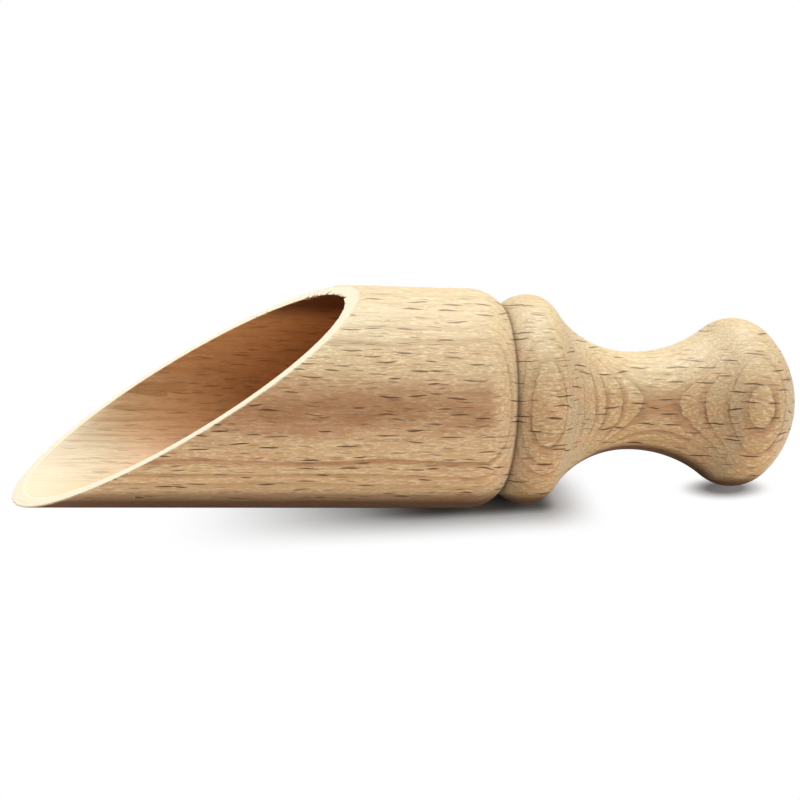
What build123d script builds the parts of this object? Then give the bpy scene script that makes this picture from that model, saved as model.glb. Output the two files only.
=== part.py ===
from build123d import *
import math
import os

# A turned beech scoop for measuring out dry goods: a bored cup with a slanted mouth, and a
# handle of collar, waist and knob whose tenon is glued into the back of the cup.
# The pieces are turned about the X axis with the lip at X = 0, and are laid down on the
# points that the scoop rests on at the end. All sizes are in millimetres.

# Cup
cup_diameter = 40.0
wall = 1.8
mouth_length = 61.2      # how far back from the lip the slanted mouth runs
closed_length = 20.3     # the full round stretch between the mouth and the rounded back
back_round = 7.3
floor_thickness = 7.2    # solid wood between the bore and the tenon's socket
bore_floor_round = 2.0
rim_outer_ease = 0.35
rim_inner_ease = 0.2

# Groove and collar, measured inwards from the cup's outside
groove_depth = 3.05
collar_step = 0.75
collar_front_round = 7.0     # from the groove up to the collar's widest place
collar_back_round = 5.0      # from there down towards the waist

# Waist and knob
waist_diameter = 18.2
waist_front_sweep = 19.4     # radius of the hollow curve from the collar to the waist
waist_back_sweep = 25.7      # radius of the hollow curve from the waist to the knob
knob_diameter = 31.7
knob_round = 6.65
knob_end_length = 10.9       # from the knob's widest place to its end

# Tenon and socket
tenon_diameter = 14.0
tenon_length = 14.0
tenon_chamfer = 1.2
glue_clearance = 0.05
socket_end_clearance = 0.6

# Cuts run this far past what they cut
overrun = 2.0

cup_radius = cup_diameter / 2
cup_length = mouth_length + closed_length
bore_radius = cup_radius - wall
groove_radius = cup_radius - groove_depth
collar_radius = cup_radius - collar_step
waist_radius = waist_diameter / 2
knob_radius = knob_diameter / 2
tenon_radius = tenon_diameter / 2
socket_radius = tenon_radius + glue_clearance
socket_depth = tenon_length + socket_end_clearance


def side(long_side, short_side):
    """The third side of a right triangle."""
    return math.sqrt(long_side**2 - short_side**2)


def between(start, end, distance):
    """The point at a distance from start on the line towards end."""
    step = (end - start).normalized()
    return start + step * distance


# Each curve of the turned outline is an arc about one of these centres. Neighbouring arcs
# touch without a corner, apart from the sharp groove between cup and collar.
back_centre = Vector(cup_length, 0, cup_radius - back_round)
groove_x = cup_length + side(back_round, groove_radius - back_centre.Z)
collar_front_height = collar_radius - collar_front_round
collar_x = groove_x + side(collar_front_round, groove_radius - collar_front_height)
collar_front_centre = Vector(collar_x, 0, collar_front_height)
collar_back_centre = Vector(collar_x, 0, collar_radius - collar_back_round)
front_sweep_height = waist_radius + waist_front_sweep
sweep_reach = collar_back_round + waist_front_sweep
waist_x = collar_x + side(sweep_reach, front_sweep_height - collar_back_centre.Z)
front_sweep_centre = Vector(waist_x, 0, front_sweep_height)
back_sweep_centre = Vector(waist_x, 0, waist_radius + waist_back_sweep)
knob_centre_height = knob_radius - knob_round
knob_x = waist_x + side(waist_back_sweep + knob_round, back_sweep_centre.Z - knob_centre_height)
knob_centre = Vector(knob_x, 0, knob_centre_height)
end_x = knob_x + knob_end_length

# The knob's end is a shallow dome about a point on the axis, touching the knob's round edge.
end_flat = knob_end_length - knob_round
knob_end_round = knob_end_length - (end_flat**2 - knob_centre_height**2) / (2 * end_flat)
end_centre = Vector(end_x - knob_end_round, 0, 0)

# The socket and the bore come into the cup from both ends, with the floor left between them.
socket_end_x = groove_x - socket_depth
bore_depth = socket_end_x - floor_thickness


def arc(centre, radius, start, end):
    """The short arc about centre from start to end."""
    middle = between(centre, (start + end) / 2, radius)
    return ThreePointArc(start, middle, end)


def turn(outline):
    """Turn a half outline, drawn in the plane of X and Z, about the X axis."""
    return revolve(make_face(outline), Axis.X)


def mouth_cutter():
    """The wedge above the slanted mouth, from the lip up and back to the top of the cup."""
    lip = Vector(0, 0, -cup_radius)
    crown = Vector(mouth_length, 0, cup_radius)
    low = between(lip, crown, -overrun)
    high = between(crown, lip, -overrun)
    corner = Vector(low.X, 0, high.Z)
    wedge = make_face(Polyline(low, high, corner, close=True))
    return extrude(wedge, cup_radius + overrun, dir=(0, 1, 0), both=True)


def rim_face(cup):
    """The slanted face of cut wood round the mouth."""
    away_from_cup = Axis((0, 0, 0), (-cup_diameter, 0, mouth_length))
    return cup.faces().filter_by(GeomType.PLANE).sort_by(away_from_cup)[-1]


def make_cup():
    """The bored cup, with its slanted mouth and the socket for the tenon."""
    back_start = Vector(cup_length, 0, cup_radius)
    groove = Vector(groove_x, 0, groove_radius)
    floor_centre = Vector(bore_depth - bore_floor_round, 0, bore_radius - bore_floor_round)
    floor_start = Vector(bore_depth, 0, floor_centre.Z)
    floor_end = Vector(floor_centre.X, 0, bore_radius)
    outline = Curve() + [
        Line((0, 0, cup_radius), back_start),
        arc(back_centre, back_round, back_start, groove),
        Polyline(
            groove,
            (groove_x, 0, socket_radius),
            (socket_end_x, 0, socket_radius),
            (socket_end_x, 0, 0),
        ),
        Line((socket_end_x, 0, 0), (bore_depth, 0, 0)),
        Line((bore_depth, 0, 0), floor_start),
        arc(floor_centre, bore_floor_round, floor_start, floor_end),
        Polyline(floor_end, (0, 0, bore_radius), (0, 0, cup_radius)),
    ]
    cup = turn(outline) - mouth_cutter()

    # The edges of the cut wood are broken by sanding: more on the outside than on the inside.
    cup = chamfer(rim_face(cup).outer_wire().edges(), rim_outer_ease)
    return chamfer(rim_face(cup).inner_wires()[0].edges(), rim_inner_ease)


def make_handle():
    """Collar, waist and knob in one turning, with the tenon that enters the cup."""
    tenon_end_x = groove_x - tenon_length
    groove = Vector(groove_x, 0, groove_radius)
    collar_end = between(collar_back_centre, front_sweep_centre, collar_back_round)
    waist = Vector(waist_x, 0, waist_radius)
    knob_start = between(knob_centre, back_sweep_centre, knob_round)
    knob_end = between(end_centre, knob_centre, knob_end_round)
    collar_top = Vector(collar_x, 0, collar_radius)
    knob_top = Vector(knob_x, 0, knob_radius)
    end = Vector(end_x, 0, 0)
    outline = Curve() + [
        Polyline(
            (tenon_end_x, 0, 0),
            (tenon_end_x, 0, tenon_radius - tenon_chamfer),
            (tenon_end_x + tenon_chamfer, 0, tenon_radius),
            (groove_x, 0, tenon_radius),
            groove,
        ),
        arc(collar_front_centre, collar_front_round, groove, collar_top),
        arc(collar_back_centre, collar_back_round, collar_top, collar_end),
        arc(front_sweep_centre, waist_front_sweep, collar_end, waist),
        arc(back_sweep_centre, waist_back_sweep, waist, knob_start),
        ThreePointArc(knob_start, knob_top, knob_end),
        arc(end_centre, knob_end_round, knob_end, end),
        Line(end, (tenon_end_x, 0, 0)),
    ]
    return turn(outline)


def rest_angle():
    """How far the handle drops, in degrees: the cup's back edge and the collar both touch."""
    across = collar_back_centre.X - back_centre.X
    up = back_centre.Z - collar_back_centre.Z
    reach = math.hypot(across, up)
    dip = math.asin((back_round - collar_back_round) / reach)
    return math.degrees(dip + math.atan2(up, across))


pieces = {"scoop_cup": make_cup(), "turned_handle": make_handle()}

# Lay the scoop down: its origin is on the table, under the middle of the whole part.
laid = {name: Rot(0, rest_angle(), 0) * piece for name, piece in pieces.items()}
whole = Compound(list(laid.values())).bounding_box()
table = Pos(-whole.center().X, -whole.center().Y, -whole.min.Z)

os.makedirs("parts", exist_ok=True)
for name, piece in laid.items():
    node = table * piece
    node.label = name
    export_step(node, os.path.join("parts", name + ".step"))
    print(name, round(node.volume, 1), "cubic mm")
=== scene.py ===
import math

import bmesh
import bpy
from mathutils import Matrix, Vector, noise


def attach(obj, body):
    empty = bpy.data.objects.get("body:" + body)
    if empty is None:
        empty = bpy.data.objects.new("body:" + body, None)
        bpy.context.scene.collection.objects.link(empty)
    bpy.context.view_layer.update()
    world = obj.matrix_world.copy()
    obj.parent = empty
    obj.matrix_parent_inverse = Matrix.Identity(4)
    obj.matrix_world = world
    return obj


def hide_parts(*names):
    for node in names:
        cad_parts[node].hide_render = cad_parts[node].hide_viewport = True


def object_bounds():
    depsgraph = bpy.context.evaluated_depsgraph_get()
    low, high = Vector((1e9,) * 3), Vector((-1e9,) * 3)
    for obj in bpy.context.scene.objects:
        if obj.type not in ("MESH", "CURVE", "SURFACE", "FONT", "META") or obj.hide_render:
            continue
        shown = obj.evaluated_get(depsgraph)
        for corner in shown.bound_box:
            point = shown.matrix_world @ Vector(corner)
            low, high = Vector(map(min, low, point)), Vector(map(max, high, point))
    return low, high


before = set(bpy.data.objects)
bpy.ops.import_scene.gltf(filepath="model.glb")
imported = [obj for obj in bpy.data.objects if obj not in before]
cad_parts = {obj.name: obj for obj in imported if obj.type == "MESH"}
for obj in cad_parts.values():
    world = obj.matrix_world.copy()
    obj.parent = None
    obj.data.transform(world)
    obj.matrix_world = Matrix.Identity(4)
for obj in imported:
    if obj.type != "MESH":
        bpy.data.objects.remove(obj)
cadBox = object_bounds()
print("frame loaded:", sorted(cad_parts))

mm = 0.001
rootBody = "root"

# The turned profile in mm: x runs from the lip to the knob, r is the distance from the turning axis.
cup = {
    "radius": 20.0,
    "wall": 1.8,
    "mouthLength": 61.2,
    "closedLength": 20.3,
    "backRound": 7.3,
    "floorThickness": 7.2,
    "boreFloorRound": 2.0,
    "outerEase": 0.38,       # how far the sanded round of the rim's outer edge reaches
    "lipEase": 0.7,          # the same at the thin lip
    "lipSpread": 3,          # a higher power keeps that rounder edge closer to the lip
    "innerEase": 0.16,
    "edgeWear": 0.5,         # small rough places along the rim's outer edge
    "wearSpacing": 1.3,
    "rimWobble": 0.05,       # the rim was sanded by hand
    "wobbleCloseness": 2.2,  # more gives shorter waves along the rim
    "wobbleRow": 0.3,        # another row through the noise gives another rim
    "roughRow": 0.5,         # the same for its wear and tears
    "tearDepth": 1.1,        # torn fibres at the rim's inner edge, near the crown
    "tearLength": 1.5,       # they run this many times further into the bore
    "tearGain": 2.0,
    "tearGap": 0.2,          # more leaves longer whole stretches between the tears
    "tearSpacing": 0.9,
    "tearPlace": 112.0,      # degrees round from the front: the crown is at 90
    "tearSpread": 5,         # a higher power keeps the tears closer to that place
    "segments": 440,
    "crowding": 0.5,         # the mesh is this much finer at the crown and coarser at the lip
}
handle = {
    "grooveDepth": 3.05,     # in from the cup's outside, as the collar's step is
    "collarStep": 0.75,
    "collarFrontRound": 7.0,
    "collarBackRound": 5.0,
    "waistRadius": 9.1,
    "waistFrontSweep": 19.4,
    "waistBackSweep": 25.7,
    "knobRadius": 15.85,
    "knobRound": 6.65,
    "knobEndLength": 10.9,
    "tenonRadius": 7.0,
    "tenonLength": 14.0,
    "tenonChamfer": 1.2,
    "glueClearance": 0.05,
    "socketEndClearance": 0.6,
    "segments": 360,
    "crowding": 0.0,
}
sharpFrom = 38.0             # degrees between two faces, from where their edge stays sharp


def side(longSide, shortSide):
    return math.sqrt(longSide**2 - shortSide**2)


# Centres of the profile's arcs as (x, r)
boreRadius = cup["radius"] - cup["wall"]
cupLength = cup["mouthLength"] + cup["closedLength"]
grooveRadius = cup["radius"] - handle["grooveDepth"]
collarRadius = cup["radius"] - handle["collarStep"]
backCentre = Vector((cupLength, cup["radius"] - cup["backRound"]))
grooveX = cupLength + side(cup["backRound"], grooveRadius - backCentre.y)
collarFrontHeight = collarRadius - handle["collarFrontRound"]
collarX = grooveX + side(handle["collarFrontRound"], grooveRadius - collarFrontHeight)
collarFrontCentre = Vector((collarX, collarFrontHeight))
collarBackCentre = Vector((collarX, collarRadius - handle["collarBackRound"]))
frontSweepHeight = handle["waistRadius"] + handle["waistFrontSweep"]
frontReach = handle["collarBackRound"] + handle["waistFrontSweep"]
waistX = collarX + side(frontReach, frontSweepHeight - collarBackCentre.y)
frontSweepCentre = Vector((waistX, frontSweepHeight))
backSweepCentre = Vector((waistX, handle["waistRadius"] + handle["waistBackSweep"]))
knobHeight = handle["knobRadius"] - handle["knobRound"]
backReach = handle["waistBackSweep"] + handle["knobRound"]
knobX = waistX + side(backReach, backSweepCentre.y - knobHeight)
knobCentre = Vector((knobX, knobHeight))
endX = knobX + handle["knobEndLength"]
endFlat = handle["knobEndLength"] - handle["knobRound"]
endRound = handle["knobEndLength"] - (endFlat**2 - knobHeight**2) / (2 * endFlat)
endCentre = Vector((endX - endRound, 0))
socketRadius = handle["tenonRadius"] + handle["glueClearance"]
socketEndX = grooveX - handle["tenonLength"] - handle["socketEndClearance"]
boreDepth = socketEndX - cup["floorThickness"]

# The scoop lies on the cup's back edge and on the collar, so its axis drops towards the knob.
across = collarBackCentre.x - backCentre.x
rise = backCentre.y - collarBackCentre.y
dip = math.asin((cup["backRound"] - handle["collarBackRound"]) / math.hypot(across, rise))
dropAngle = dip + math.atan2(rise, across)

# From the turning axis in mm to the frame in metres: the knob's end and the table fix the place.
axisShift = Vector((
    cadBox[1].x / mm - endRound - endCentre.x * math.cos(dropAngle),
    0,
    backCentre.x * math.sin(dropAngle) + backCentre.y * math.cos(dropAngle) + cup["backRound"],
))
axisToFrame = Matrix.Translation(axisShift * mm) @ Matrix.Rotation(dropAngle, 4, "Y") @ Matrix.Scale(mm, 4)
print("turning axis drops %.3f degrees" % math.degrees(dropAngle))


def arcPoints(centre, radius, start, end, count):
    # The short way round from start to end
    first = math.atan2(start.y - centre.y, start.x - centre.x)
    turn = math.atan2(end.y - centre.y, end.x - centre.x) - first
    turn -= 2 * math.pi * round(turn / (2 * math.pi))
    angles = [first + turn * step / count for step in range(count + 1)]
    return [centre + radius * Vector((math.cos(a), math.sin(a))) for a in angles]


def straight(start, end, count):
    return [start.lerp(end, step / count) for step in range(count + 1)]


def joined(stretches):
    # Stretches of points that meet: all but the first leave out the point that they start on
    return stretches[0] + [point for stretch in stretches[1:] for point in stretch[1:]]


def easedCorner(before, corner, after, reach, count):
    # A small curve in place of a corner, reaching the same distance along both of its sides
    start = corner + (before - corner).normalized() * reach
    end = corner + (after - corner).normalized() * reach
    steps = [step / count for step in range(count + 1)]
    return [start * (1 - t)**2 + corner * (2 * t * (1 - t)) + end * t**2 for t in steps]


def latheMesh(name, sectionAt, rule):
    # sectionAt gives the (x, r) points from pole to pole for an angle, which is 0 at the front and a
    # quarter turn at the top
    shape = bmesh.new()
    columns = []
    first = last = None
    for step in range(rule["segments"]):
        turned = 2 * math.pi * step / rule["segments"]
        angle = turned + rule["crowding"] * math.cos(turned)
        section = sectionAt(angle)
        if first is None:
            first = shape.verts.new(axisToFrame @ Vector((section[0].x, 0, 0)))
            last = shape.verts.new(axisToFrame @ Vector((section[-1].x, 0, 0)))
        outward = Vector((0, -math.cos(angle), math.sin(angle)))
        places = [Vector((p.x, 0, 0)) + outward * p.y for p in section[1:-1]]
        columns.append([shape.verts.new(axisToFrame @ place) for place in places])
    for column, nextColumn in zip(columns, columns[1:] + columns[:1]):
        shape.faces.new((first, nextColumn[0], column[0]))
        shape.faces.new((last, column[-1], nextColumn[-1]))
        for a, b, c, d in zip(column, nextColumn, nextColumn[1:], column[1:]):
            shape.faces.new((a, b, c, d))
    bmesh.ops.recalc_face_normals(shape, faces=shape.faces)
    mesh = bpy.data.meshes.new(name)
    shape.to_mesh(mesh)
    shape.free()
    mesh.shade_smooth()
    mesh.set_sharp_from_angle(angle=math.radians(sharpFrom))
    piece = bpy.data.objects.new(name, mesh)
    bpy.context.scene.collection.objects.link(piece)
    return piece


def roughAround(angle, radius, spacing):
    # Noise round a circle, with a rise about every spacing mm
    return noise.noise(Vector((angle * radius * 2 / spacing, 0, cup["roughRow"])))


# In both sections, the last number of a stretch is how many steps the mesh takes along it.
def cupSection(angle):
    up = math.sin(angle)
    slope = cup["mouthLength"] / 2
    roundRim = Vector((math.cos(angle), up, cup["wobbleRow"])) * cup["wobbleCloseness"]
    ripple = noise.noise(roundRim) * cup["rimWobble"]
    rimOuter = Vector((slope * (1 + up) + ripple, cup["radius"]))
    rimInner = Vector((slope * (1 + up * boreRadius / cup["radius"]) + ripple, boreRadius))
    tearShare = max(0, math.cos(angle - math.radians(cup["tearPlace"])))**cup["tearSpread"]
    torn = roughAround(angle, boreRadius, cup["tearSpacing"]) * cup["tearGain"] - cup["tearGap"]
    tear = cup["tearDepth"] * tearShare * max(0, torn)
    lipShare = max(0, -up)**cup["lipSpread"]
    outerEase = cup["outerEase"] + (cup["lipEase"] - cup["outerEase"]) * lipShare
    worn = roughAround(angle, cup["radius"], cup["wearSpacing"])
    outerEase += cup["edgeWear"] * max(0, worn) * (1 - lipShare)

    floorCentre = Vector((boreDepth - cup["boreFloorRound"], boreRadius - cup["boreFloorRound"]))
    floorEdge = Vector((boreDepth, floorCentre.y))
    boreStart = Vector((floorCentre.x, boreRadius))
    wallEnd = Vector((cupLength, cup["radius"]))
    groove = Vector((grooveX, grooveRadius))
    socketMouth = Vector((grooveX, socketRadius))
    socketEdge = Vector((socketEndX, socketRadius))
    alongBore = (boreStart - rimInner).normalized() * (cup["innerEase"] + tear * cup["tearLength"])
    alongRim = (rimOuter - rimInner).normalized() * (cup["innerEase"] + tear)
    innerEdge = straight(rimInner + alongBore, rimInner + alongRim, 4)
    outerEdge = easedCorner(rimInner, rimOuter, wallEnd, outerEase, 6)
    return joined([
        straight(Vector((boreDepth, 0)), floorEdge, 5),
        arcPoints(floorCentre, cup["boreFloorRound"], floorEdge, boreStart, 6),
        straight(boreStart, innerEdge[0], 24),
        innerEdge,
        straight(innerEdge[-1], outerEdge[0], 4),
        outerEdge,
        straight(outerEdge[-1], wallEnd, 24),
        arcPoints(backCentre, cup["backRound"], wallEnd, groove, 14),
        straight(groove, socketMouth, 3),
        straight(socketMouth, socketEdge, 4),
        straight(socketEdge, Vector((socketEndX, 0)), 3),
    ])


def handleSection(angle):
    # The handle is the same all round, whatever the angle
    tenonEndX = grooveX - handle["tenonLength"]
    tenonFace = Vector((tenonEndX, handle["tenonRadius"] - handle["tenonChamfer"]))
    tenonEdge = Vector((tenonEndX + handle["tenonChamfer"], handle["tenonRadius"]))
    shoulder = Vector((grooveX, handle["tenonRadius"]))
    groove = Vector((grooveX, grooveRadius))
    collarTop = Vector((collarX, collarRadius))
    towardsSweep = (frontSweepCentre - collarBackCentre).normalized()
    collarEnd = collarBackCentre + towardsSweep * handle["collarBackRound"]
    waist = Vector((waistX, handle["waistRadius"]))
    knobStart = knobCentre + (backSweepCentre - knobCentre).normalized() * handle["knobRound"]
    knobTop = Vector((knobX, handle["knobRadius"]))
    knobEnd = endCentre + (knobCentre - endCentre).normalized() * endRound
    return joined([
        straight(Vector((tenonEndX, 0)), tenonFace, 3),
        straight(tenonFace, tenonEdge, 1),
        straight(tenonEdge, shoulder, 4),
        straight(shoulder, groove, 3),
        arcPoints(collarFrontCentre, handle["collarFrontRound"], groove, collarTop, 10),
        arcPoints(collarBackCentre, handle["collarBackRound"], collarTop, collarEnd, 12),
        arcPoints(frontSweepCentre, handle["waistFrontSweep"], collarEnd, waist, 18),
        arcPoints(backSweepCentre, handle["waistBackSweep"], waist, knobStart, 18),
        arcPoints(knobCentre, handle["knobRound"], knobStart, knobTop, 14),
        arcPoints(knobCentre, handle["knobRound"], knobTop, knobEnd, 14),
        arcPoints(endCentre, endRound, knobEnd, Vector((endX, 0)), 12),
    ])


cupPiece = latheMesh("beechCup", cupSection, cup)
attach(cupPiece, rootBody)
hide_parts("scoop_cup")
handlePiece = latheMesh("beechHandle", handleSection, handle)
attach(handlePiece, rootBody)
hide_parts("turned_handle")
print("turned meshes made")

# Turned beech, sanded and left bare: matt, warm and pale, with pinkish late wood, finely stippled
# early wood and the short brown ray flecks that tell beech from other pale woods.
beech = {
    "layerTilt": 23.5,        # the growth layers face the front, tipped up by this many degrees
    "pithDepth": 29.0,        # mm from the turning axis to the heart of the tree, behind the scoop
    "grainLeanFrom": 95.0,    # mm from the lip, where the growth layers start to run out of the handle
    "grainLeanTo": 200.0,     # past the knob's end
    "grainLean": 0.13,        # mm outwards for each mm along
    "oldestDepth": -22.0,     # where the dark lines between the years lie, in mm off the turning axis
    "innerYears": 23,
    "yearDepths": [6.7, 7.65, 9.3, 10.75, 13.1, 14.7, 16.4, 17.4, 18.45, 20.4, 22.5],
    "endWood": "#C7B491",     # greyer where the turning cuts across the grain
    "lateWood": "#AD784A",
    "warmWood": "#D3A078",
    "ringLine": "#83593A",
    "paintedTopLight": "#CFC19C",    # painted light: paler and yellower where the surface faces up
    "paintedBoreShade": "#D29E69",   # painted shade: warmer and darker deeper in the bore
    "streakDark": "#A2754A",
    "streakPale": "#F0D4A6",
    "poreSpeck": "#F5E3BC",
    # the rim's own pale cut face, and painted light inside the thin lip
    "cutGrainAndPaintedLipLight": "#F0E6CC",
    "paintedUnderShade": "#562D14",   # painted shade underneath, where the surface faces down
    "fleck": "#5A3717",
    "paintedGrooveShade": "#54351E",   # painted shade in the groove at the joint
    "jointReach": 0.9,        # mm
    "roughness": (0.55, 0.75),    # up to the second in the dark streaks
    "surface": {"IOR": 1.5, "Diffuse Roughness": 0.3, "Specular IOR Level": 0.4},
    "bumpDepth": 0.05,        # mm
    "bumpStrength": 0.6,
    "boreShadeFrom": 12.0,        # mm from the lip, where the painted shade in the bore starts
    "boreShadeFull": 36.0,
    "paintedLipLight": 0.6,           # painted light: the inside of the thin lip is made nearly as pale as the rim
    "paintedLipLightTo": 20.0,
}

# What differs between the pieces. The early wood is the ground that the other colours lie on. Under gives
# how far the surface faces down where the painted shade underneath starts and where it is full.
boards = {
    "cup": {"earlyWood": "#D7B182", "lateShare": 1.0, "lineShare": 0.9, "ringsShow": (0.66, 0.97),
            "under": (-0.38, -0.68)},
    "handle": {"earlyWood": "#C8A06D", "lateShare": 0.55, "lineShare": 1.7, "ringsShow": (0.55, 0.96),
               "under": (-0.48, -0.7)},
}

# Noise through the wood: size of a feature in mm along the grain, round the layers and out from the
# heart. Real pores and fibres are under 0.1 mm wide, and are drawn as coarse as they need to show.
grainNoise = {"Scale": 1.0, "Roughness": 0.6, "Distortion": 0.4}
grainPatterns = {
    "wander": {"size": (46, 15, 22), "detail": 1.0, "low": 0.2, "high": 0.8, "from": -0.3, "to": 0.3},
    "ripple": {"size": (9, 2.2, 6), "detail": 2.0, "low": 0.2, "high": 0.8, "from": -0.1, "to": 0.1},
    "bend": {"size": (7, 5, 9), "detail": 1.0, "low": 0.2, "high": 0.8, "from": -0.3, "to": 0.3},
    "broken": {"size": (7, 3, 3), "detail": 2.0, "low": 0.38, "high": 0.64, "from": 0.05, "to": 0.5},
    "patch": {"size": (16, 3.4, 6), "detail": 2.0, "low": 0.42, "high": 0.7, "from": 0.0, "to": 0.5},
    "cloud": {"size": (26, 5, 7), "detail": 2.0, "low": 0.35, "high": 0.65, "from": 0.7, "to": 1.0},
    "darkStreak": {"size": (8, 0.45, 0.45), "detail": 3.0, "low": 0.48, "high": 0.7, "from": 0.0, "to": 0.4},
    "paleStreak": {"size": (5, 0.34, 0.34), "detail": 3.0, "low": 0.5, "high": 0.7, "from": 0.0, "to": 0.45},
    "pore": {"size": (1.3, 0.32, 0.32), "detail": 1.0, "low": 0.48, "high": 0.66, "from": 0.0, "to": 1.0},
}

# Ray flecks: one to a cell of these mm along and across, in a share of the cells
fleckLayers = [
    {"cell": (6.0, 1.45), "length": (2.2, 4.2), "width": (0.3, 0.42), "share": 0.72, "strength": 0.95},
    {"cell": (4.8, 1.0), "length": (1.6, 3.0), "width": (0.2, 0.3), "share": 0.6, "strength": 0.6},
    {"cell": (3.4, 0.6), "length": (1.0, 2.0), "width": (0.16, 0.22), "share": 0.5, "strength": 0.3},
]
fleckShape = {
    "scatter": 0.9,           # how far each strays from the middle of its cell
    "shift": (3.7, 8.1),      # cells from one layer to the next, so that they don't repeat
    "tip": 0.0005,            # width at its ends, as a share of its full width
    "core": 0.35,             # this share of its width is fully dark
    "full": 0.65,             # this share of the flecks is at full strength, and the rest are fainter
}

# What a share of colour follows: over a stretch of what, and what it is at the start and at the
# end of that stretch. Where no stretch is named it runs evenly over 0 to 1, and else it eases in
# and out. A name in place of numbers is looked up among all that was made so far.
fades = {
    "outside": {"of": "bored", "gives": (1.0, 0.25)},
    "offBoreShade": {"of": "boreShadeShare", "gives": (1.0, 0.15)},
    # painted light: a share that grows as the surface faces up
    "paintedLightShare": {"of": "up", "over": (0.3, 0.95), "gives": (0.0, "cloud")},
    "late": {"of": "season", "over": (0.5, 0.8), "gives": (0.0, "cloud")},
    "early": {"of": "late", "gives": (0.8, 0.15)},
    "yearEnd": {"of": "season", "over": (0.78, 0.97), "gives": (0.0, "broken")},
    "clear": {"of": "flat", "over": "ringsShow", "gives": (0.22, 1.0)},
    "offPlates": {"of": "plate", "over": (0.82, 0.97), "gives": (1.0, 0.1)},
    "endWood": {"of": "end", "over": (0.25, 0.8), "gives": (0.0, 1.0)},
    # flecks fade a little in the painted light on upper faces
    "fewerFlecksInPaintedLight": {"of": "paintedLightShare", "gives": (1.0, 0.7)},
    "fewerFlecksInBore": {"of": "bored", "gives": (1.0, 0.5)},
    # painted shade: darker as the surface faces down
    "paintedUnderShadeShare": {"of": "up", "over": "under", "gives": (0.0, 1.0)},
    "endGrain": {"of": "end", "over": (0.1, 0.75), "gives": ("early", 0.6)},
    # painted shade, deeper in the bore
    "boreShadeDepth": {"of": "boreShadeShare", "gives": (0.02, 0.95)},
}

# Shares that show only as far as others let them
products = {
    "lateWood": ("late", "clear"),
    "ringLine": ("yearEnd", "clear"),
    "fleck": ("flecks", "offPlates", "fewerFlecksInPaintedLight", "fewerFlecksInBore"),
    "poreSpeck": ("pore", "endGrain", "outside"),
    "streakPale": ("paleStreak", "early", "outside"),
    "paintedBoreShade": ("bored", "boreShadeDepth"),
    "paintedTopLight": ("paintedLightShare", "offBoreShade"),
}

# Colours from the broad to the fine: the share that each follows, and the most of it that shows. Among them
# are painted light on upper faces and inside the lip, and painted shade in the bore, underneath and in the
# groove at the joint.
layers = [
    ("endWood", "endWood", 0.8),
    ("lateWood", "lateWood", "lateShare"),
    ("warmWood", "patch", 1.0),
    ("ringLine", "ringLine", "lineShare"),
    # painted light on upper faces
    ("paintedTopLight", "paintedTopLight", 0.85),
    # painted shade in the bore
    ("paintedBoreShade", "paintedBoreShade", 1.0),
    ("streakDark", "darkStreak", 1.0),
    ("streakPale", "streakPale", 1.0),
    ("poreSpeck", "poreSpeck", 0.6),
    # painted shade underneath
    ("paintedUnderShade", "paintedUnderShadeShare", 0.9),
    ("fleck", "fleck", 1.0),
    # the rim's cut face, and painted light inside the lip
    ("cutGrainAndPaintedLipLight", "cutFaceAndPaintedLipLight", 0.95),
    # painted shade in the groove
    ("paintedGrooveShade", "jointed", 0.65),
]

# Node settings that come back often, and the numbers of a mix node's two colour sockets
smooth = {"interpolation_type": "SMOOTHSTEP"}
plus = {"operation": "ADD"}
minus = {"operation": "SUBTRACT"}
times = {"operation": "MULTIPLY"}
larger = {"operation": "MAXIMUM"}
colours = {"data_type": "RGBA"}
colourA, colourB = 6, 7


def linearColour(hexCode):
    parts = [int(hexCode[i:i + 2], 16) / 255 for i in (1, 3, 5)]
    return [p / 12.92 if p <= 0.04045 else ((p + 0.055) / 1.055)**2.4 for p in parts] + [1.0]


def emptyTree(owner):
    owner.use_nodes = True
    owner.node_tree.nodes.clear()
    return owner.node_tree


def addNode(tree, kind, settings=None, links=None):
    # links holds socket names or numbers, each with a value, an output or a node. A node stands for
    # the first of its outputs that is in use.
    node = tree.nodes.new(kind)
    for key, value in (settings or {}).items():
        setattr(node, key, value)
    for key, value in (links or {}).items():
        if isinstance(value, bpy.types.Node):
            value = [output for output in value.outputs if output.enabled][0]
        if isinstance(value, bpy.types.NodeSocket):
            tree.links.new(value, node.inputs[key])
        else:
            node.inputs[key].default_value = value
    return node


def growthSeason(tree, wood, radius, made):
    # 0 to 1 through each year's growth, from the pale early wood out to the dark line that ends it
    leanFrom, leanTo = beech["grainLeanFrom"], beech["grainLeanTo"]
    lean = addNode(tree, "ShaderNodeMapRange", {}, {
        "Value": wood["X"], "From Min": leanFrom, "From Max": leanTo,
        "To Max": -beech["grainLean"] * (leanTo - leanFrom)})
    depth = radius
    for offset in (lean, made["wander"], made["ripple"]):
        depth = addNode(tree, "ShaderNodeMath", plus, {0: depth, 1: offset})
    oldest, youngest = beech["oldestDepth"], beech["yearDepths"][-1]
    years = beech["innerYears"] + len(beech["yearDepths"]) - 1
    place = addNode(tree, "ShaderNodeMapRange", {}, {
        "Value": depth, "From Min": beech["pithDepth"] + oldest, "From Max": beech["pithDepth"] + youngest})
    age = addNode(tree, "ShaderNodeFloatCurve", {}, {"Value": place})
    curve = age.mapping.curves[0]
    stops = [((stop - oldest) / (youngest - oldest), (beech["innerYears"] + year) / years)
             for year, stop in enumerate(beech["yearDepths"])]
    curve.points[0].location, curve.points[1].location = (0, 0), stops[-1]
    for stop in stops[:-1]:
        curve.points.new(*stop)
    for point in curve.points:
        point.handle_type = "VECTOR"
    age.mapping.update()
    count = addNode(tree, "ShaderNodeMath", times, {0: age, 1: float(years)})
    return addNode(tree, "ShaderNodeMath", {"operation": "FRACT"}, {0: count})


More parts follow.
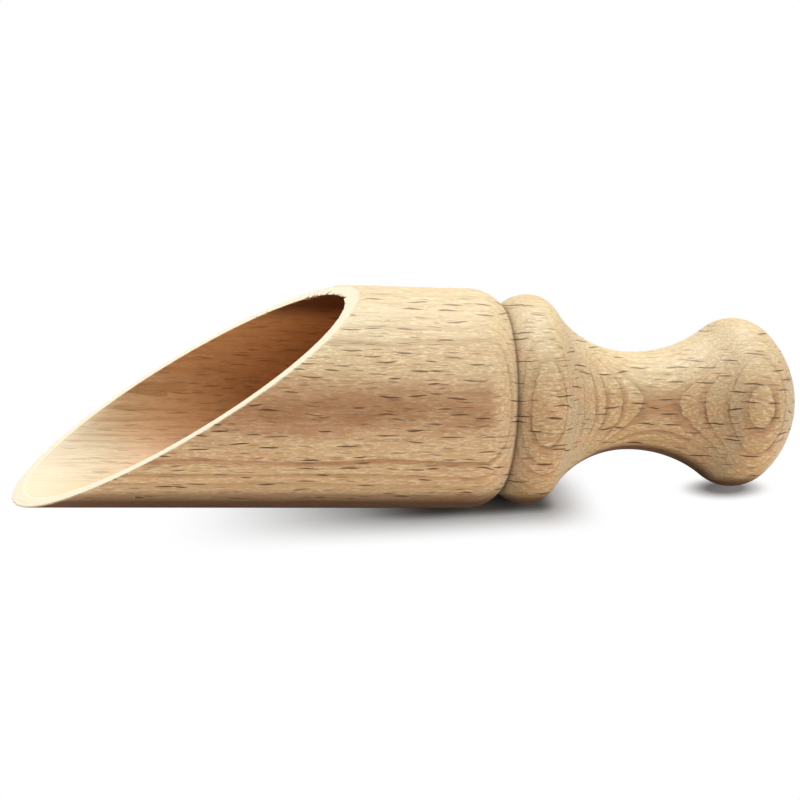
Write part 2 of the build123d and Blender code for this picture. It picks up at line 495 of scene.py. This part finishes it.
def rayFlecks(tree, wood, bend):
    # Rays are thin plates that run out from the heart: here they are cut across, as tapered dashes
    bent = addNode(tree, "ShaderNodeMath", plus, {0: wood["Y"], 1: bend})
    plate = addNode(tree, "ShaderNodeCombineXYZ", {}, {0: wood["X"], 1: bent})
    flecks = None
    for number, layer in enumerate(fleckLayers):
        along, across = layer["cell"]
        shift = [number * cells for cells in fleckShape["shift"]]
        shortest, longest = [length / 2 / along for length in layer["length"]]
        thinnest, widest = [width / 2 / across for width in layer["width"]]
        spot = addNode(tree, "ShaderNodeMapping", {}, {
            "Vector": plate, "Location": (*shift, 0), "Scale": (1 / along, 1 / across, 1)})
        cell = addNode(tree, "ShaderNodeTexVoronoi", {"voronoi_dimensions": "2D"}, {
            "Vector": spot, "Scale": 1.0, "Randomness": fleckShape["scatter"]})
        chance = addNode(tree, "ShaderNodeSeparateColor", {}, {0: cell.outputs["Color"]}).outputs
        away = addNode(tree, "ShaderNodeVectorMath", minus, {0: spot, 1: cell.outputs["Position"]})
        awayParts = addNode(tree, "ShaderNodeSeparateXYZ", {}, {0: away}).outputs
        reach = addNode(tree, "ShaderNodeMapRange", {}, {
            "Value": chance[0], "To Min": shortest, "To Max": longest})
        outwards = addNode(tree, "ShaderNodeMath", {"operation": "DIVIDE"}, {0: awayParts[0], 1: reach})
        bowed = addNode(tree, "ShaderNodeMath", times, {0: outwards, 1: outwards})
        taper = addNode(tree, "ShaderNodeMapRange", {}, {
            "Value": bowed, "To Min": 1.0, "To Max": fleckShape["tip"]})
        width = addNode(tree, "ShaderNodeMapRange", {}, {
            "Value": chance[1], "To Min": thinnest, "To Max": widest})
        edge = addNode(tree, "ShaderNodeMath", times, {0: taper, 1: width})
        core = addNode(tree, "ShaderNodeMath", times, {0: edge, 1: fleckShape["core"]})
        distance = addNode(tree, "ShaderNodeMath", {"operation": "ABSOLUTE"}, {0: awayParts[1]})
        strength = addNode(tree, "ShaderNodeMapRange", {}, {
            "Value": chance[2], "From Min": 1 - layer["share"],
            "From Max": 1 - layer["share"] * fleckShape["full"], "To Max": layer["strength"]})
        dash = addNode(tree, "ShaderNodeMapRange", smooth, {
            "Value": distance, "From Min": edge, "From Max": core, "To Max": strength})
        flecks = dash if flecks is None else addNode(tree, "ShaderNodeMath", larger, {0: flecks, 1: dash})
    return flecks


def woodShares(tree, board):
    # All that a share of colour can follow, by name: the piece's own values, the grain, which way the
    # surface faces, the marks on the mesh, the season and the rays. Wood coordinates are in mm: x along
    # the grain, y round the growth layers and z out from the heart.
    tilt = math.radians(beech["layerTilt"])
    along = Vector((1, 0, 0))
    roundLayers = Vector((0, math.sin(tilt), math.cos(tilt)))
    outFromHeart = Vector((0, -math.cos(tilt), math.sin(tilt)))
    layerAxes = Matrix((along, roundLayers, outFromHeart)).to_4x4()
    toWood = Matrix.Translation((0, 0, beech["pithDepth"])) @ layerAxes @ axisToFrame.inverted()
    place, turn, size = toWood.decompose()
    space = addNode(tree, "ShaderNodeTexCoord").outputs
    woodPlace = addNode(tree, "ShaderNodeMapping", {}, {
        "Vector": space["Object"], "Location": place, "Rotation": turn.to_euler(), "Scale": size})
    wood = addNode(tree, "ShaderNodeSeparateXYZ", {}, {0: woodPlace}).outputs
    across = addNode(tree, "ShaderNodeVectorMath", times, {0: woodPlace, 1: (0, 1, 1)})
    radius = addNode(tree, "ShaderNodeVectorMath", {"operation": "LENGTH"}, {0: across})

    made = dict(board)
    for key, rule in grainPatterns.items():
        stretched = addNode(tree, "ShaderNodeMapping", {"vector_type": "TEXTURE"}, {
            "Vector": woodPlace, "Scale": rule["size"]})
        cloudy = addNode(tree, "ShaderNodeTexNoise", {}, {
            "Vector": stretched, "Detail": rule["detail"], **grainNoise})
        made[key] = addNode(tree, "ShaderNodeMapRange", smooth, {
            "Value": cloudy, "From Min": rule["low"], "From Max": rule["high"],
            "To Min": rule["from"], "To Max": rule["to"]})
    made["up"] = addNode(tree, "ShaderNodeSeparateXYZ", {}, {0: space["Normal"]}).outputs["Z"]
    axisTurn = axisToFrame.to_3x3().normalized()
    for key, direction in {"end": along, "flat": outFromHeart, "plate": roundLayers}.items():
        facing = addNode(tree, "ShaderNodeVectorMath", {"operation": "DOT_PRODUCT"}, {
            0: space["Normal"], 1: axisTurn @ direction})
        made[key] = addNode(tree, "ShaderNodeMath", {"operation": "ABSOLUTE"}, {0: facing})
    for key in ("bored", "boreShadeShare", "cutFaceAndPaintedLipLight", "jointed"):
        made[key] = addNode(tree, "ShaderNodeAttribute", {"attribute_name": key}).outputs["Fac"]
    made["season"] = growthSeason(tree, wood, radius, made)
    made["flecks"] = rayFlecks(tree, wood, made["bend"])
    return made


def makeBeech(name, board):
    material = bpy.data.materials.new(name)
    tree = emptyTree(material)
    made = woodShares(tree, board)
    for key, rule in fades.items():
        over = rule.get("over", (0.0, 1.0))
        start, end = made.get(over, over)
        first, last = [made.get(value, value) for value in rule["gives"]]
        made[key] = addNode(tree, "ShaderNodeMapRange", smooth if "over" in rule else {}, {
            "Value": made[rule["of"]], "From Min": start, "From Max": end, "To Min": first, "To Max": last})
    for key, factors in products.items():
        made[key] = made[factors[0]]
        for factor in factors[1:]:
            made[key] = addNode(tree, "ShaderNodeMath", times, {0: made[key], 1: made[factor]})
    colour = linearColour(board["earlyWood"])
    for key, share, most in layers:
        held = addNode(tree, "ShaderNodeMath", times, {0: made[share], 1: made.get(most, most)})
        colour = addNode(tree, "ShaderNodeMix", colours, {
            0: held, colourA: colour, colourB: linearColour(beech[key])})

    # Surface: the fibres stand slightly proud, and the rays are sunk
    height = made["poreSpeck"]
    for sunk in ("fleck", "darkStreak"):
        height = addNode(tree, "ShaderNodeMath", minus, {0: height, 1: made[sunk]})
    bump = addNode(tree, "ShaderNodeBump", {}, {
        "Height": height, "Strength": beech["bumpStrength"], "Distance": beech["bumpDepth"] * mm})
    rough = addNode(tree, "ShaderNodeMapRange", {}, {
        "Value": made["darkStreak"], "To Min": beech["roughness"][0], "To Max": beech["roughness"][1]})
    shader = addNode(tree, "ShaderNodeBsdfPrincipled", {}, {
        "Base Color": colour, "Roughness": rough, "Normal": bump, **beech["surface"]})
    addNode(tree, "ShaderNodeOutputMaterial", {}, {0: shader})
    return material


# How far the bore and the rim's face reach, in mm, for the bore's painted shade, the painted light inside
# the lip and the rim's own cut face
marks = {
    "boreSkin": 0.9,          # outwards from the bore's wall, so that the tears count as bore
    "floorSkin": 0.01,
    "boreFrom": 0.08,         # behind the rim's face
    "rimTo": 0.6,
    "rimFade": 0.3,           # inwards from the cup's outside
}


def markPoints(piece, name, valueAt):
    # Stores a value for each point of the mesh by its place about the turning axis
    frameToAxis = axisToFrame.inverted()
    values = [float(valueAt(frameToAxis @ point.co)) for point in piece.data.vertices]
    piece.data.attributes.new(name, "FLOAT", "POINT").data.foreach_set("value", values)


def smoothShare(value, start, end):
    reach = min(1, max(0, (value - start) / (end - start)))
    return reach**2 * (3 - 2 * reach)


def behindMouth(place):
    # How far along the axis a place lies behind the slanted face of the mouth
    return place.x - cup["mouthLength"] / 2 * (1 + place.z / cup["radius"])


def fromAxis(place):
    return math.hypot(place.y, place.z)


def inBore(place):
    within = fromAxis(place) < boreRadius + marks["boreSkin"] and place.x < boreDepth + marks["floorSkin"]
    return within and behindMouth(place) > marks["boreFrom"]


# Painted shade: darker and warmer deeper in the bore
def boreShadeAt(place):
    return smoothShare(place.x, beech["boreShadeFrom"], beech["boreShadeFull"]) if inBore(place) else 0


# The rim's own paler cut face, and painted light inside the lip
def rimAndPaintedLipLightAt(place):
    if inBore(place):
        return beech["paintedLipLight"] * (1 - smoothShare(place.x, 0, beech["paintedLipLightTo"]))
    if behindMouth(place) > marks["rimTo"]:
        return 0
    return 1 - smoothShare(fromAxis(place), cup["radius"] - marks["rimFade"], cup["radius"])


# Painted shade: full at the bottom of the groove, gone jointReach mm away
def byJoint(place):
    fromJoint = math.hypot(place.x - grooveX, fromAxis(place) - grooveRadius)
    return 1 - smoothShare(fromJoint, 0, beech["jointReach"])


cupMarks = {"bored": inBore, "boreShadeShare": boreShadeAt, "cutFaceAndPaintedLipLight": rimAndPaintedLipLightAt, "jointed": byJoint}
for name, valueAt in cupMarks.items():
    markPoints(cupPiece, name, valueAt)
markPoints(handlePiece, "jointed", byJoint)
cupPiece.data.materials.append(makeBeech("sandedBeechCup", boards["cup"]))
handlePiece.data.materials.append(makeBeech("sandedBeechHandle", boards["handle"]))
print("beech made")

# Camera: the photograph's angle, close to the scoop
view = {
    "azimuth": 6.455,
    "elevation": 26.31,
    "roll": 0.145,
    "distance": 200.0,        # mm
    "lens": 49.5,
    "sensor": 36,
    "aimBehindKnobEnd": 73.44,
    "aimHeight": 20.226,
}
azimuth, elevation = math.radians(view["azimuth"]), math.radians(view["elevation"])
towardsScoop = Vector((
    math.sin(azimuth) * math.cos(elevation),
    math.cos(azimuth) * math.cos(elevation),
    -math.sin(elevation),
))
aim = Vector((cadBox[1].x - view["aimBehindKnobEnd"] * mm, 0, view["aimHeight"] * mm))
cameraData = bpy.data.cameras.new("camera")
cameraData.lens = view["lens"]
cameraData.sensor_width = view["sensor"]
camera = bpy.data.objects.new("camera", cameraData)
roll = Matrix.Rotation(math.radians(view["roll"]), 4, "Z")
lookAlong = towardsScoop.to_track_quat("-Z", "Y").to_matrix().to_4x4()
camera.matrix_world = Matrix.Translation(aim - towardsScoop * view["distance"] * mm) @ lookAlong @ roll
bpy.context.scene.collection.objects.link(camera)
bpy.context.scene.camera = camera

# White table, one large soft lamp above and behind, and a weak one from the front right. The table
# gives the scoop less light back close below, where the photograph's underside is dark.
studio = {
    "tableColour": "#EEEBE6",
    "contactShade": "#8C867E",   # painted shadow: the table's colour for the camera where the scoop nearly touches it
    "bounceFar": "#DAD6D0",      # the colours that the scoop gets back from the table
    "bounceNear": "#6E6963",
    "contactFrom": 0.75,         # both change from here, as a share of the full shade: for the camera into painted shadow
    "tableSize": 6.0,            # metres
    "skyStrength": 0.05,
    "shadowLeft": (56, 4),       # mm from the resting point: where the shade is gone, and where full
    "shadowRight": (27, 14),
    "shadowFront": (17, 6),
    "shadowBack": (34, 14),
    "knobShadow": (10, 3),       # the same from a point under the knob
    "knobShadowForward": 4.0,
    "knobShadowFlat": 2.0,       # this many times shorter across than along
    # past contactFrom, this share also darkens the painted shadow under the knob
    "knobShadowShare": 0.9,
}
lamps = {
    "softboxBehind": {"place": (0.0, 0.375, 0.927), "size": 0.7, "power": 17.0},
    "softboxFrontRight": {"place": (0.5, -0.76, 0.37), "size": 0.7, "power": 5.4},
}
half = studio["tableSize"] / 2
corners = [(-half, -half, 0), (half, -half, 0), (half, half, 0), (-half, half, 0)]
tableMesh = bpy.data.meshes.new("table")
tableMesh.from_pydata(corners, [], [(0, 1, 2, 3)])
table = bpy.data.objects.new("table", tableMesh)
bpy.context.scene.collection.objects.link(table)

# The camera sees the table's own shade only close round the scoop, and plain white further out. Closest in,
# the table's colour is darkened into a painted shadow.
white = (1, 1, 1, 1)
restX = (axisToFrame @ Vector((backCentre.x, 0, -backCentre.y))).x
knobPlace = axisToFrame @ Vector((knobX, 0, 0))
tableMaterial = bpy.data.materials.new("whiteTable")
tree = emptyTree(tableMaterial)
spot = addNode(tree, "ShaderNodeTexCoord").outputs["Object"]
spotParts = addNode(tree, "ShaderNodeSeparateXYZ", {}, {0: spot}).outputs
sides = [("X", restX, -1, "shadowLeft"), ("X", restX, 1, "shadowRight"),
         ("Y", 0, -1, "shadowFront"), ("Y", 0, 1, "shadowBack")]
shown = 1.0
for axis, middle, way, key in sides:
    gone, full = [middle + way * reach * mm for reach in studio[key]]
    shown = addNode(tree, "ShaderNodeMapRange", smooth, {
        "Value": spotParts[axis], "From Min": gone, "From Max": full, "To Max": shown})
flat = studio["knobShadowFlat"]
widened = addNode(tree, "ShaderNodeVectorMath", times, {0: spot, 1: (1, flat, 1)})
fromKnob = addNode(tree, "ShaderNodeVectorMath", {"operation": "DISTANCE"}, {
    0: widened, 1: (knobPlace.x, -studio["knobShadowForward"] * flat * mm, 0)}).outputs["Value"]
gone, full = [reach * mm for reach in studio["knobShadow"]]
knobFade = addNode(tree, "ShaderNodeMapRange", smooth, {
    "Value": fromKnob, "From Min": gone, "From Max": full, "To Max": studio["knobShadowShare"]})
shown = addNode(tree, "ShaderNodeMath", larger, {0: shown, 1: knobFade})
ray = addNode(tree, "ShaderNodeLightPath").outputs["Is Camera Ray"]
hidden = addNode(tree, "ShaderNodeMath", minus, {0: 1.0, 1: shown})
bare = addNode(tree, "ShaderNodeMath", times, {0: ray, 1: hidden})
contact = addNode(tree, "ShaderNodeMapRange", smooth, {
    "Value": shown, "From Min": studio["contactFrom"], "From Max": 1.0})
bounce = addNode(tree, "ShaderNodeMix", colours, {
    0: contact, colourA: linearColour(studio["bounceFar"]), colourB: linearColour(studio["bounceNear"])})
# painted shadow: the camera's table colour darkens towards contactShade close to the scoop
seen = addNode(tree, "ShaderNodeMix", colours, {
    0: contact, colourA: linearColour(studio["tableColour"]), colourB: linearColour(studio["contactShade"])})
mattColour = addNode(tree, "ShaderNodeMix", colours, {0: ray, colourA: bounce, colourB: seen})
matt = addNode(tree, "ShaderNodeBsdfDiffuse", {}, {"Color": mattColour})
glow = addNode(tree, "ShaderNodeEmission", {}, {"Color": white, "Strength": 1.0})
surface = addNode(tree, "ShaderNodeMixShader", {}, {0: bare, 1: matt, 2: glow})
addNode(tree, "ShaderNodeOutputMaterial", {}, {0: surface})
tableMesh.materials.append(tableMaterial)

world = bpy.data.worlds.new("studio")
tree = emptyTree(world)
ray = addNode(tree, "ShaderNodeLightPath").outputs["Is Camera Ray"]
strength = addNode(tree, "ShaderNodeMapRange", {}, {
    "Value": ray, "To Min": studio["skyStrength"], "To Max": 1.0})
sky = addNode(tree, "ShaderNodeBackground", {}, {"Color": white, "Strength": strength})
addNode(tree, "ShaderNodeOutputWorld", {}, {0: sky})
bpy.context.scene.world = world

for name, settings in lamps.items():
    lampData = bpy.data.lights.new(name, "AREA")
    lampData.size = settings["size"]
    lampData.energy = settings["power"]
    lamp = bpy.data.objects.new(name, lampData)
    lamp.location = settings["place"]
    lamp.rotation_euler = (-lamp.location).to_track_quat("-Z", "Y").to_euler()
    bpy.context.scene.collection.objects.link(lamp)
bpy.context.scene.view_settings.view_transform = "Standard"
print("studio made")
